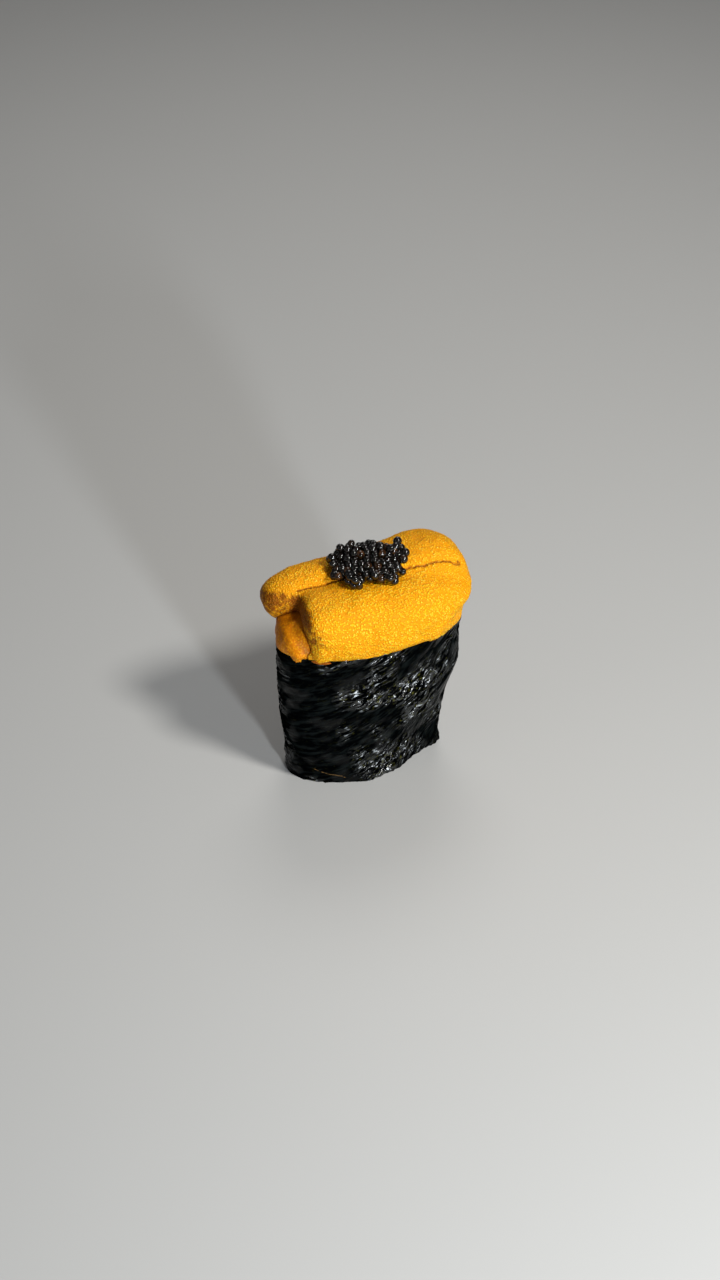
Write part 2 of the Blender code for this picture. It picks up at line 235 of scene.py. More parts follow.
def new_material(name, **values):
    """A material with its Principled shader's plain values set. Returns it, its tree and its shader."""
    material = bpy.data.materials.new(name)
    material.use_nodes = True
    shader = material.node_tree.nodes["Principled BSDF"]
    for socket, value in values.items():
        shader.inputs[socket.replace("_", " ")].default_value = value
    return material, material.node_tree, shader


def noise_at(tree, place, scale, detail=2.0, roughness=0.5, distortion=0.0):
    inputs = {"Vector": place, "Scale": scale, "Detail": detail, "Roughness": roughness, "Distortion": distortion}
    return add_node(tree, "ShaderNodeTexNoise", inputs).outputs["Fac"]


def stretched(tree, place, scale):
    return add_node(tree, "ShaderNodeMapping", {"Vector": place, "Scale": scale}).outputs["Vector"]


def calc(tree, operation, first, second=0.0, third=0.0):
    return add_node(tree, "ShaderNodeMath", {0: first, 1: second, 2: third}, operation=operation).outputs[0]


def ranged(tree, value, low, high, start=0.0, end=1.0):
    inputs = {"Value": value, "From Min": low, "From Max": high, "To Min": start, "To Max": end}
    return add_node(tree, "ShaderNodeMapRange", inputs).outputs["Result"]


def blended(tree, share, first, second):
    """Colours mixed by a share. A colour is a socket or three linear values."""
    inputs = {0: share}
    for slot, colour in ((6, first), (7, second)):
        inputs[slot] = colour if isinstance(colour, bpy.types.NodeSocket) else (*colour, 1.0)
    return add_node(tree, "ShaderNodeMix", inputs, data_type="RGBA").outputs[2]


def attribute(tree, name, output="Fac"):
    return add_node(tree, "ShaderNodeAttribute", attribute_name=name).outputs[output]


def seaweed_material():
    """Near-black green, glossy where it is damp, with streaks of fibre, flecks of green and brown, and pale bluish
    flecks on the damp streaks that are painted glints.
    """
    material, tree, shader = new_material("toasted_seaweed", IOR=1.7)
    fibre = attribute(tree, "fibre", "Vector")
    rumple = attribute(tree, "rumple")
    streaks = noise_at(tree, stretched(tree, fibre, (0.24, 1.05, 0.4)), 1.0, 2.0, 0.45, 0.3)
    beads = noise_at(tree, stretched(tree, fibre, (0.48, 1.1, 0.8)), 1.0, 1.0, 0.5, 0.2)
    flecks = noise_at(tree, stretched(tree, fibre, (0.7, 1.8, 0.9)), 1.0, 2.0, 0.6)
    patches = noise_at(tree, stretched(tree, fibre, (0.13, 0.16, 0.1)), 1.0, 2.0)
    rough = ranged(tree, rumple, 0.3, 1.1)
    colour = blended(tree, ranged(tree, streaks, 0.45, 0.72), (0.0006, 0.0008, 0.0010), (0.006, 0.008, 0.008))
    olive = calc(tree, "MULTIPLY", ranged(tree, flecks, 0.60, 0.70), ranged(tree, rough, 0.0, 0.9, 0.05, 0.8))
    colour = blended(tree, olive, colour, (0.100, 0.098, 0.018))
    damp = calc(tree, "MULTIPLY", ranged(tree, streaks, 0.47, 0.60), rough)
    # Pale bluish flecks on the damp streaks are painted glints, bright in every view.
    pale = calc(tree, "MULTIPLY", ranged(tree, beads, 0.62, 0.69), damp)
    colour = blended(tree, pale, colour, (0.68, 0.74, 0.78))
    place = add_node(tree, "ShaderNodeSeparateXYZ", {0: fibre}).outputs
    level = calc(tree, "MULTIPLY_ADD", place["X"], THREAD_SLOPE, THREAD_LEVEL)
    level = calc(tree, "MULTIPLY_ADD", patches, THREAD_WAVER, level)
    thread = ranged(tree, calc(tree, "ABSOLUTE", calc(tree, "SUBTRACT", place["Z"], level)), 0.20, 0.05)
    reach = ranged(tree, calc(tree, "ABSOLUTE", calc(tree, "SUBTRACT", place["X"], THREAD_MIDDLE)), 4.6, 4.0)
    thread = calc(tree, "MULTIPLY", calc(tree, "MULTIPLY", thread, reach), ranged(tree, beads, 0.45, 0.55))
    colour = blended(tree, thread, colour, (0.16, 0.09, 0.03))
    height = calc(tree, "MULTIPLY_ADD", streaks, 0.8, calc(tree, "MULTIPLY", beads, 0.5))
    bump = add_node(tree, "ShaderNodeBump", {"Strength": 1.0, "Height": height,
                                             "Distance": ranged(tree, rumple, 0.2, 1.2, 0.15 * MM, 1.3 * MM)})
    tree.links.new(colour, shader.inputs["Base Color"])
    tree.links.new(ranged(tree, patches, 0.35, 0.65, 0.17, 0.30), shader.inputs["Roughness"])
    gloss = calc(tree, "MAXIMUM", calc(tree, "MULTIPLY", damp, 0.85), ranged(tree, patches, 0.52, 0.68, 0.0, 0.09))
    tree.links.new(gloss, shader.inputs["Specular IOR Level"])
    tree.links.new(bump.outputs["Normal"], shader.inputs["Normal"])
    return material


def smooth_piece(piece, material):
    piece.data.materials.clear()
    piece.data.materials.append(material)
    piece.data.shade_smooth()


band = build_band()
smooth_piece(band, seaweed_material())
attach(band, "root")
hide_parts("nori")


# Pressed rice
# Short cooked grains, seasoned and pressed into the band. Only the underside shows, where the grains were
# pressed flat on the board; the rest is a plain block that the band and the sea urchin hide.
RICE_INSET = 0.9
RICE_BLOCK = (1.3, 41.2)
RICE_COLUMNS = 96
RICE_ROWS = 12
GRAIN_SIZE = (5.4, 2.7, 2.4)
GRAIN_SPACING = 1.9
GRAIN_HEIGHT = 1.15
GRAIN_TILT = math.radians(9.0)
GRAIN_BORDER = 2.6
GRAIN_FACES = (12, 8)


def new_geometry_tree(name, numbers):
    """A Geometry Nodes tree with a mesh in, a mesh out and named number inputs."""
    tree = bpy.data.node_groups.new(name, "GeometryNodeTree")
    tree.interface.new_socket("Geometry", in_out="INPUT", socket_type="NodeSocketGeometry")
    for number in numbers:
        tree.interface.new_socket(number, in_out="INPUT", socket_type="NodeSocketFloat")
    tree.interface.new_socket("Material", in_out="INPUT", socket_type="NodeSocketMaterial")
    tree.interface.new_socket("Geometry", in_out="OUTPUT", socket_type="NodeSocketGeometry")
    return tree, tree.nodes.new("NodeGroupInput").outputs, tree.nodes.new("NodeGroupOutput").inputs


def random_number(tree, low, high, seed):
    inputs = {2: low, 3: high, "Seed": seed}
    return add_node(tree, "FunctionNodeRandomValue", inputs, data_type="FLOAT").outputs[1]


def grown_mesh(source, tree, values):
    """The plain mesh that a Geometry Nodes tree makes of a source object, which is then removed."""
    modifier = source.modifiers.new("grown", "NODES")
    modifier.node_group = tree
    for item in tree.interface.items_tree:
        if item.in_out == "INPUT" and item.name in values:
            modifier[item.identifier] = values[item.name]
    depsgraph = bpy.context.evaluated_depsgraph_get()
    mesh = bpy.data.meshes.new_from_object(source.evaluated_get(depsgraph))
    source.modifiers.remove(modifier)
    bpy.data.objects.remove(source)
    return mesh


def finished_instances(tree, instances, material):
    """Instances made real, shaded smooth and given their material."""
    real = add_node(tree, "GeometryNodeRealizeInstances", {"Geometry": instances})
    smooth = add_node(tree, "GeometryNodeSetShadeSmooth", {"Geometry": real.outputs[0]})
    inputs = {"Geometry": smooth.outputs[0], "Material": material}
    return add_node(tree, "GeometryNodeSetMaterial", inputs).outputs[0]


def grain_tree():
    """Grains strewn over a face, each lying at its own turn and slight tilt."""
    names = ("Spacing", "Length", "Width", "Thickness", "Tilt")
    tree, given, result = new_geometry_tree("rice_grains", names)
    inputs = {"Mesh": given["Geometry"], "Distance Min": given["Spacing"], "Density Max": 1e7, "Seed": 3}
    spots = add_node(tree, "GeometryNodeDistributePointsOnFaces", inputs, distribute_method="POISSON")
    tint = random_number(tree, 0.0, 1.0, 5)
    inputs = {"Geometry": spots.outputs["Points"], "Name": "tint", "Value": tint}
    marked = add_node(tree, "GeometryNodeStoreNamedAttribute", inputs, data_type="FLOAT", domain="POINT")
    ball = add_node(tree, "GeometryNodeMeshUVSphere", {"Segments": GRAIN_FACES[0], "Rings": GRAIN_FACES[1], "Radius": 0.5})
    lean = [add_node(tree, "ShaderNodeMath", {0: given["Tilt"], 1: random_number(tree, -1.0, 1.0, seed)},
                     operation="MULTIPLY").outputs[0] for seed in (6, 7)]
    turn = add_node(tree, "ShaderNodeCombineXYZ",
                    {"X": lean[0], "Y": lean[1], "Z": random_number(tree, 0.0, math.pi, 8)})
    size = add_node(tree, "ShaderNodeCombineXYZ",
                    {"X": given["Length"], "Y": given["Width"], "Z": given["Thickness"]})
    scale = add_node(tree, "ShaderNodeVectorMath",
                     {0: size.outputs[0], "Scale": random_number(tree, 0.85, 1.08, 9)}, operation="SCALE")
    inputs = {"Points": marked.outputs[0], "Instance": ball.outputs["Mesh"], "Rotation": turn.outputs[0],
              "Scale": scale.outputs[0]}
    instances = add_node(tree, "GeometryNodeInstanceOnPoints", inputs).outputs[0]
    tree.links.new(finished_instances(tree, instances, given["Material"]), result["Geometry"])
    return tree


def rice_material():
    material, tree, shader = new_material("seasoned_rice", Subsurface_Weight=0.35, Subsurface_Scale=1.2 * MM,
                                          Coat_Weight=0.3, Coat_Roughness=0.18)
    shader.inputs["Subsurface Radius"].default_value = (1.0, 0.85, 0.6)
    place = add_node(tree, "ShaderNodeTexCoord").outputs["Object"]
    cloud = noise_at(tree, place, 900.0, 3.0)
    shade = calc(tree, "MULTIPLY_ADD", attribute(tree, "tint"), 0.5, cloud)
    colour = blended(tree, shade, (0.62, 0.57, 0.44), (0.86, 0.84, 0.76))
    bump = add_node(tree, "ShaderNodeBump", {"Strength": 0.4, "Distance": 0.1 * MM, "Height": cloud})
    tree.links.new(colour, shader.inputs["Base Color"])
    tree.links.new(ranged(tree, cloud, 0.3, 0.7, 0.3, 0.5), shader.inputs["Roughness"])
    tree.links.new(bump.outputs["Normal"], shader.inputs["Normal"])
    return material


def joined(name, meshes):
    """One mesh of several."""
    bm = bmesh.new()
    for mesh in meshes:
        bm.from_mesh(mesh)
    made = bpy.data.meshes.new(name)
    bm.to_mesh(made)
    bm.free()
    return made


def build_rice(material):
    table = band_rings()
    low = spline(table, np.array([0.0]))[0][:, :2]
    towards = low / np.linalg.norm(low, axis=1, keepdims=True)
    patch = np.column_stack([low - towards * GRAIN_BORDER, np.full(len(low), GRAIN_HEIGHT)])
    face = add_object("rice_face", mesh_from("rice_face", patch, [tuple(range(len(patch)))]))
    sizes = dict(zip(("Length", "Width", "Thickness"), (size * MM for size in GRAIN_SIZE)))
    values = {"Spacing": GRAIN_SPACING * MM, "Tilt": GRAIN_TILT, "Material": material, **sizes}
    grains = grown_mesh(face, grain_tree(), values)
    wall = BVHTree.FromPolygons([v.co.copy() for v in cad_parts["nori"].data.vertices],
                                [tuple(p.vertices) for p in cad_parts["nori"].data.polygons])
    for vertex in grains.vertices:
        vertex.co.z = max(0.0, vertex.co.z)
        out = Vector((vertex.co.x, vertex.co.y, 0.0))
        hit = wall.ray_cast(Vector((0.0, 0.0, max(vertex.co.z, 0.2 * MM))), out.normalized())[0]
        reach = Vector((hit.x, hit.y, 0.0)).length - 0.3 * MM
        if out.length > reach:
            vertex.co.x *= reach / out.length
            vertex.co.y *= reach / out.length
    grid, out, _ = band_grid(RICE_COLUMNS, RICE_ROWS)
    grid -= out * (BAND_WALL + RICE_INSET)
    grid[:, :, 2] = np.linspace(*RICE_BLOCK, RICE_ROWS)[:, None]
    rings = [row * RICE_COLUMNS for row in range(RICE_ROWS)]
    faces = [tuple(reversed(range(RICE_COLUMNS))), tuple(range(rings[-1], rings[-1] + RICE_COLUMNS))]
    for first, second in zip(rings, rings[1:]):
        faces += ring_faces(first, second, RICE_COLUMNS)
    block = mesh_from("rice_block", grid.reshape(-1, 3), faces)
    store(block, "tint", "FLOAT", np.full(len(block.vertices), 0.2))
    return add_object("pressed_rice", joined("pressed_rice", [grains, block]))


rice_finish = rice_material()
rice = build_rice(rice_finish)
smooth_piece(rice, rice_finish)
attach(rice, "root")
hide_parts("rice")


# Sea urchin, large tongue
# Fresh sea urchin laid over the rim as one thick folded tongue. Its skin is moist and set all over with
# small round papillae, and a thin crease runs along the top where its two lobes meet. The crease, the left
# end and the hollows are darkened with painted shade.
SKEW = Euler((math.radians(37.0), math.radians(23.0), math.radians(11.0))).to_matrix().to_4x4()
TONGUE_CELL = 0.6
TONGUE_SMOOTH = 10
CELL_STRAY = 0.34
PAPILLA_RISE = 0.13
PAPILLA_TOPS = (0.1, 1.0)
EDGE_DROP = -0.2
VALLEY_DROP = -0.5
LUMPS = ((5.0, 0.22), (1.7, 0.16))
COARSE_BELOW = (-4.0, 52.0)
COARSE_REACH = 8.0
PULLS = (
    ((-12.5, -11.5, 42.0), (4.5, 6.0, 4.2), (-1.9, 0.0, 0.0)),
    ((26.5, -6.0, 44.5), (7.5, 9.0, 3.4), (-2.0, 0.7, 0.0)),
    ((29.5, -4.5, 50.8), (6.0, 7.0, 2.2), (0.9, -0.3, 0.0)),
    ((-15.5, -6.5, 51.0), (3.5, 5.5, 5.5), (-1.8, -0.3, 0.0)),
)
SETTLE_REACH = (0.55, 1.5)
DRAPE_LEVEL = (42.9, 1.3)
DRAPE_REACH = (1.6, 3.2)
DRAPE_LAP = 0.12
DRAPE_FLOOR = 42.02
HOLLOW_RAYS = 10
HOLLOW_REACH = 7.0
HOLLOW_LIFT = 0.25
HOLLOW_SMOOTH = 4
END_SHADE_START = (13.2, 46.0, 0.48, -0.9)
END_SHADE_REACH = (3.5, 3.0, 0.25, 0.4)
END_SHADE_FRONT = 0.35
CREASE = (
    (-16.8, 4.1), (-14.1, 3.8), (-11.5, 3.6), (-8.8, 3.4), (-6.1, 3.3), (-3.4, 3.2), (4.0, 2.2), (11.6, 0.9),
    (14.3, 0.6), (16.9, 0.1), (19.0, 0.25), (21.2, 0.25), (23.7, -0.15), (26.2, -0.45),
)
CREASE_STEPS = 6
CREASE_WAVERS = ((2.4, 0.3), (0.9, 0.22))
CREASE_LOOP = 0.35
CREASE_CUT = ((0.55, 0.32), (0.30, 1.2))


def skin(node_name, cell, smoothing):
    """A frame node's solid under a soft skin of even small cells, laid askew so that no rows of them show."""
    bm = merged_copy(node_name)
    bmesh.ops.scale(bm, vec=(MM, MM, MM), verts=bm.verts)
    bmesh.ops.transform(bm, matrix=SKEW, verts=bm.verts)
    mesh = bpy.data.meshes.new(node_name + "_skin")
    bm.to_mesh(mesh)
    bm.free()
    made = add_object(node_name + "_skin", mesh)
    soften = made.modifiers.new("soften", "SUBSURF")
    soften.levels = soften.render_levels = 2
    remesh = made.modifiers.new("remesh", "REMESH")
    remesh.mode = "VOXEL"
    remesh.voxel_size = cell * MM
    smooth = made.modifiers.new("smooth", "SMOOTH")
    smooth.factor = 0.5
    smooth.iterations = smoothing
    depsgraph = bpy.context.evaluated_depsgraph_get()
    result = bpy.data.meshes.new_from_object(made.evaluated_get(depsgraph))
    bpy.data.objects.remove(made)
    result.transform(SKEW.inverted())
    return result


def read_points(mesh, field="vertices", value="co"):
    """Places or directions of a mesh's vertices as an array."""
    values = np.zeros(len(mesh.vertices) * 3, np.float32)
    getattr(mesh, field).foreach_get(value, values)
    return values.reshape(-1, 3).astype(float)


def directions(mesh):
    return read_points(mesh, "vertex_normals", "vector")


def papillate(mesh, cell, rise, seed):
    """Turn a skin's cells into papillae: a top on each of its vertices, valleys between them."""
    draw = np.random.default_rng(seed)
    places, out = read_points(mesh), directions(mesh)
    stray = draw.uniform(-CELL_STRAY, CELL_STRAY, places.shape) * cell * MM
    places += stray - out * np.sum(out * stray, axis=1, keepdims=True)
    coarse = np.clip((COARSE_BELOW - places[:, 1:] / MM) / COARSE_REACH, 0.0, 1.0).prod(axis=1)
    for wave, depth in LUMPS:
        swell = np.array([noise.noise(Vector(place) / (wave * MM)) for place in places])
        places += out * (swell * depth * (1.0 + coarse) * MM)[:, None]
    mesh.vertices.foreach_set("co", places.astype(np.float32).ravel())
    made = add_object("papillae", mesh)
    split = made.modifiers.new("split", "SUBSURF")
    split.levels = split.render_levels = 1
    depsgraph = bpy.context.evaluated_depsgraph_get()
    result = bpy.data.meshes.new_from_object(made.evaluated_get(depsgraph))
    tops, edges = len(mesh.vertices), len(mesh.edges)
    bpy.data.objects.remove(made)
    height = np.full(len(result.vertices), VALLEY_DROP)
    height[:tops] = draw.uniform(*PAPILLA_TOPS, tops)
    height[tops:tops + edges] = EDGE_DROP
    places, out = read_points(result), directions(result)
    places += out * (height * rise * MM)[:, None]
    result.vertices.foreach_set("co", places.astype(np.float32).ravel())
    store(result, "papilla", "FLOAT", height)
    return result


def nearest_finder(mesh):
    return BVHTree.FromPolygons([vertex.co for vertex in mesh.vertices],
                                [tuple(face.vertices) for face in mesh.polygons])


def pulled(mesh):
    """Draw the tongue's low left corner into the lower tongue, and undercut its right end."""
    places = read_points(mesh) / MM
    for spot, widths, shift in PULLS:
        share = np.exp(-np.sum(((places - spot) / widths) ** 2, axis=1))
        places += share[:, None] * shift
    mesh.vertices.foreach_set("co", (places * MM).astype(np.float32).ravel())
    mesh.update()


def drape(mesh, rim):
    """Let a soft piece slump sideways over the rim that it lies in, where it reaches close to it."""
    places = read_points(mesh) / MM
    turn = np.arctan2(places[:, 1], places[:, 0])
    inside = np.linalg.norm(places[:, :2], axis=1)
    order = np.argsort(np.arctan2(rim[:, 1], rim[:, 0]))
    rim = rim[order]
    reach = np.interp(turn, np.arctan2(rim[:, 1], rim[:, 0]), np.linalg.norm(rim[:, :2], axis=1),
                      period=2.0 * math.pi)
    short = reach + DRAPE_LAP - inside
    share = np.clip((DRAPE_REACH[1] - short) / (DRAPE_REACH[1] - DRAPE_REACH[0]), 0.0, 1.0)
    share *= np.exp(-((places[:, 2] - DRAPE_LEVEL[0]) / DRAPE_LEVEL[1]) ** 2)
    grown = inside + np.maximum(short, 0.0) * share
    places[:, :2] *= (grown / inside)[:, None]
    resting = (short > 0.0) & (reach - grown < BAND_WALL + 0.3)
    places[resting, 2] = np.maximum(places[resting, 2], DRAPE_FLOOR)
    mesh.vertices.foreach_set("co", (places * MM).astype(np.float32).ravel())
    mesh.update()


def settle(mesh, support):
    """Let a soft piece lie close against what carries it: in touch where it is near, unchanged farther off."""
    close, far = (reach * MM for reach in SETTLE_REACH)
    places = read_points(mesh)
    for place in places:
        spot, _, _, gap = support.find_nearest(Vector(place), far)
        if spot is not None:
            place += (np.array(spot) - place) * min(1.0, (far - gap) / (far - close))
    mesh.vertices.foreach_set("co", places.astype(np.float32).ravel())
    mesh.update()


def store_hollow_shade(mesh, finders, seed):
    """Keep how much of the air over each vertex is shut in by near surfaces, from none to all, for the urchin
    material to paint as shade.
    """
    draw = np.random.default_rng(seed)
    places, out = read_points(mesh), directions(mesh)
    starts = places + out * HOLLOW_LIFT * MM
    shut = np.zeros(len(places))
    for _ in range(HOLLOW_RAYS):
        spread = draw.normal(size=out.shape)
        aims = out + spread / np.linalg.norm(spread, axis=1, keepdims=True)
        shut += [any(finder.ray_cast(Vector(start), Vector(aim), HOLLOW_REACH * MM)[0] for finder in finders)
                 for start, aim in zip(starts, aims)]
    shut /= HOLLOW_RAYS
    edges = np.zeros(len(mesh.edges) * 2, np.int32)
    mesh.edges.foreach_get("vertices", edges)
    edges = edges.reshape(-1, 2)
    count = 1.0 + np.bincount(edges.ravel(), minlength=len(shut))
    for _ in range(HOLLOW_SMOOTH):
        around = np.bincount(edges[:, 0], shut[edges[:, 1]], len(shut))
        around += np.bincount(edges[:, 1], shut[edges[:, 0]], len(shut))
        shut = (shut + around) / count
    store(mesh, "hollow", "FLOAT", shut)


def store_painted_end_shade(mesh):
    """Keep where the left end is painted in shade, as it turns away from the light: far left, not low, turned left
    and not upwards.
    """
    places, out = read_points(mesh) / MM, directions(mesh)
    given = np.column_stack((-places[:, 0], places[:, 2], -out[:, 0] - END_SHADE_FRONT * out[:, 1], -out[:, 2]))
    store(mesh, "end_shade", "FLOAT", np.prod(np.clip((given - END_SHADE_START) / END_SHADE_REACH, 0.0, 1.0), axis=1))


def crease_line():
    """The crease as seen from above: a wavering line that ends in a small curl."""
    places = np.linspace(0.0, len(CREASE) - 1.0, CREASE_STEPS * len(CREASE))
    line = spline(np.array(CREASE), places)
    for wave, reach in CREASE_WAVERS:
        line[:, 1] += [reach * noise.noise(Vector((x / wave, 0.3, 0.0))) for x in line[:, 0]]
    turns = np.linspace(-0.5 * math.pi, 1.25 * math.pi, CREASE_STEPS)[1:]
    curl = line[-1] + CREASE_LOOP * np.column_stack([np.cos(turns), 1.0 + np.sin(turns)])
    return np.concatenate([line, curl])


def distance_to_line(points, line):
    """How far each point lies from a line of straight steps, in the plane."""
    nearest = np.full(len(points), np.inf)
    for start, end in zip(line, line[1:]):
        step = end - start
        share = np.clip((points - start) @ step / (step @ step), 0.0, 1.0)
        nearest = np.minimum(nearest, np.linalg.norm(points - start - share[:, None] * step, axis=1))
    return nearest


def carve_crease(mesh):
    """Cut the crease into the top and keep each vertex's distance from it."""
    places, out = read_points(mesh), directions(mesh)
    away = distance_to_line(places[:, :2] / MM, crease_line())
    away += 10.0 * (out[:, 2] < 0.1)
    for depth, width in CREASE_CUT:
        places[:, 2] -= depth * np.exp(-(away / width) ** 2) * MM
    mesh.vertices.foreach_set("co", places.astype(np.float32).ravel())
    store(mesh, "crease", "FLOAT", away)
    mesh.update()


def grain_group():
    """Shared by both tongues: fine grain of the skin as a height and a mask of its tops, which the materials paint
    brighter, partly as painted light.
    """
    group = bpy.data.node_groups.new("urchin_grain", "ShaderNodeTree")
    group.interface.new_socket("Grain per metre", in_out="INPUT", socket_type="NodeSocketFloat")
    group.interface.new_socket("Height", in_out="OUTPUT", socket_type="NodeSocketFloat")
    group.interface.new_socket("Tops", in_out="OUTPUT", socket_type="NodeSocketFloat")
    given = group.nodes.new("NodeGroupInput").outputs
    result = group.nodes.new("NodeGroupOutput").inputs
    place = add_node(group, "ShaderNodeTexCoord").outputs["Object"]
    inputs = {"Vector": place, "Scale": given[0], "Smoothness": 0.3, "Randomness": 0.85}
    cells = add_node(group, "ShaderNodeTexVoronoi", inputs, feature="SMOOTH_F1").outputs["Distance"]
    fine = noise_at(group, place, calc(group, "MULTIPLY", given[0], 1.9), 3.0, 0.6)
    tops = calc(group, "POWER", ranged(group, cells, 0.62, 0.08), 0.8)
    height = calc(group, "MULTIPLY_ADD", fine, 0.6, tops)
    group.links.new(height, result["Height"])
    group.links.new(tops, result["Tops"])
    return group


urchin_grain = grain_group()


def urchin_material(name, colours, grain, relief, wet):
    """Moist sea urchin. Colours are its valleys, darker partly as painted shade; its body; its bright tops,
    lighter partly as painted light; a painted shade for the left end and hollows; and its front, painted yellower as
    lit.
    """
    material, tree, shader = new_material(name, Subsurface_Weight=0.25, Subsurface_Scale=0.9 * MM,
                                          Specular_IOR_Level=0.16, Coat_Weight=wet, Coat_Roughness=0.22)
    shader.inputs["Subsurface Radius"].default_value = (1.0, 0.42, 0.08)
    shader.inputs["Specular Tint"].default_value = (1.0, 0.88, 0.68, 1.0)
    skin_grain = add_node(tree, "ShaderNodeGroup", node_tree=urchin_grain)
    skin_grain.inputs[0].default_value = grain
    place = add_node(tree, "ShaderNodeTexCoord").outputs["Object"]
    cloud = noise_at(tree, place, 130.0, 3.0)
    mottle = noise_at(tree, place, 900.0, 2.0)
    # Valleys between papillae are darker and tops brighter: partly the grain's own tone, partly painted shade and
    # painted light.
    top = calc(tree, "MULTIPLY_ADD", ranged(tree, attribute(tree, "papilla"), -0.5, 0.8), 0.25,
               skin_grain.outputs["Tops"])
    sides = add_node(tree, "ShaderNodeSeparateXYZ", {0: place}).outputs
    # The front is painted yellower than the body, as the side the light falls on.
    front = ranged(tree, sides["Y"], -1.0 * MM, -10.0 * MM)
    flesh_lit_front = blended(tree, front, colours[1], colours[4])
    body = blended(tree, ranged(tree, top, 0.25, 0.75), colours[0], flesh_lit_front)
    body = blended(tree, calc(tree, "MULTIPLY", ranged(tree, top, 0.75, 1.1), ranged(tree, mottle, 0.25, 0.5)),
                   body, colours[2])
    body = blended(tree, ranged(tree, cloud, 0.45, 0.7, 0.0, 0.45), body, colours[0])
    spots = calc(tree, "MULTIPLY_ADD", mottle, 0.4, calc(tree, "MULTIPLY", cloud, 0.6))
    # Painted shade on the left end, where it turns away from the light, broken into soft spots.
    end = calc(tree, "MULTIPLY", attribute(tree, "end_shade"), ranged(tree, spots, 0.38, 0.60, 0.2, 1.8))
    body = blended(tree, ranged(tree, end, 0.1, 0.9, 0.0, 0.85), body, colours[3])
    # A thin line of painted shade along the crease; on the flake the same colour makes its own brown edges.
    line = ranged(tree, calc(tree, "MULTIPLY_ADD", mottle, 0.3, attribute(tree, "crease")), 0.42, 0.22)
    body = blended(tree, calc(tree, "MULTIPLY", line, 0.9), body, (0.27, 0.065, 0.003))
    # Painted shade in the hollows, where nearby skin shuts out the light.
    body = blended(tree, ranged(tree, attribute(tree, "hollow"), 0.15, 0.55, 0.0, 0.85), body, colours[3])
    inputs = {"Strength": relief, "Distance": 0.3 * MM, "Height": skin_grain.outputs["Height"]}
    bump = add_node(tree, "ShaderNodeBump", inputs)
    tree.links.new(body, shader.inputs["Base Color"])
    tree.links.new(ranged(tree, mottle, 0.3, 0.7, 0.38, 0.55), shader.inputs["Roughness"])
    tree.links.new(bump.outputs["Normal"], shader.inputs["Normal"])
    return material


# Valleys, body, bright tops, painted shade for the left end and hollows, and the front painted yellower as lit.
TONGUE_COLOURS = ((0.80, 0.31, 0.002), (0.94, 0.45, 0.006), (1.0, 0.74, 0.12), (0.20, 0.042, 0.002), (0.96, 0.54, 0.008))

band_finder = nearest_finder(band.data)
rim_ring = band_rings()[-1]
tongue_mesh = papillate(skin("uni_tongue", TONGUE_CELL, TONGUE_SMOOTH), TONGUE_CELL, PAPILLA_RISE, 21)
pulled(tongue_mesh)
drape(tongue_mesh, rim_ring)
settle(tongue_mesh, band_finder)
under_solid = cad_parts["uni_lower_tongue"].data
store_hollow_shade(tongue_mesh, [nearest_finder(tongue_mesh), nearest_finder(under_solid)], 31)
store_painted_end_shade(tongue_mesh)
carve_crease(tongue_mesh)
tongue = add_object("urchin_tongue", tongue_mesh)
smooth_piece(tongue, urchin_material("urchin_skin", TONGUE_COLOURS, 1650.0, 0.9, 0.0))
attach(tongue, "root")
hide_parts("uni_tongue")


# Sea urchin, lower tongue
# A second, smoother tongue under the left end of the large one. It is wetter and more orange, and hangs over
# the rim in a rounded drop.
UNDER_CELL = 0.5
UNDER_SMOOTH = 12
UNDER_RISE = 0.06
FLAKE_SPOT = (-15.2, -10.3, 41.7)
FLAKE_HALF = (2.6, 0.16, 0.5)
FLAKE_TURN = math.radians(-28.0)
FLAKE_BEND = 0.35
FLAKE_CURL = 0.25
FLAKE_WAVES = 2.2
# Same order as the large tongue's colours; the fourth is painted shade.
UNDER_COLOURS = ((0.62, 0.19, 0.002), (0.76, 0.27, 0.003), (0.90, 0.38, 0.010), (0.26, 0.06, 0.002), (0.80, 0.32, 0.005))



def flake_mesh():
    """A thin torn flake of skin with brown edges, stuck to the seaweed under the large tongue's corner."""
    bm = bmesh.new()
    bmesh.ops.create_icosphere(bm, subdivisions=4, radius=1.0)
    ball = np.array([vertex.co for vertex in bm.verts])
    edge = 1.0 - np.linalg.norm(ball[:, [0, 2]], axis=1)
    for vertex, place in zip(bm.verts, ball):
        wave = noise.noise(Vector((place[0] * FLAKE_WAVES, 0.0, 2.0)))
        vertex.co = (FLAKE_HALF[0] * place[0], FLAKE_HALF[1] * place[1] + FLAKE_BEND * place[0] ** 2,
                     FLAKE_HALF[2] * place[2] * (1.0 + wave) + FLAKE_CURL * wave)
    bmesh.ops.rotate(bm, verts=bm.verts, matrix=Euler((0.0, 0.0, FLAKE_TURN)).to_matrix())
    bmesh.ops.translate(bm, verts=bm.verts, vec=FLAKE_SPOT)
    bmesh.ops.scale(bm, verts=bm.verts, vec=(MM, MM, MM))
    mesh = bpy.data.meshes.new("flake")
    bm.to_mesh(mesh)
    bm.free()
    for name in ("papilla", "hollow", "end_shade"):
        store(mesh, name, "FLOAT", np.zeros(len(edge)))
    store(mesh, "crease", "FLOAT", 0.15 * edge)
    return mesh


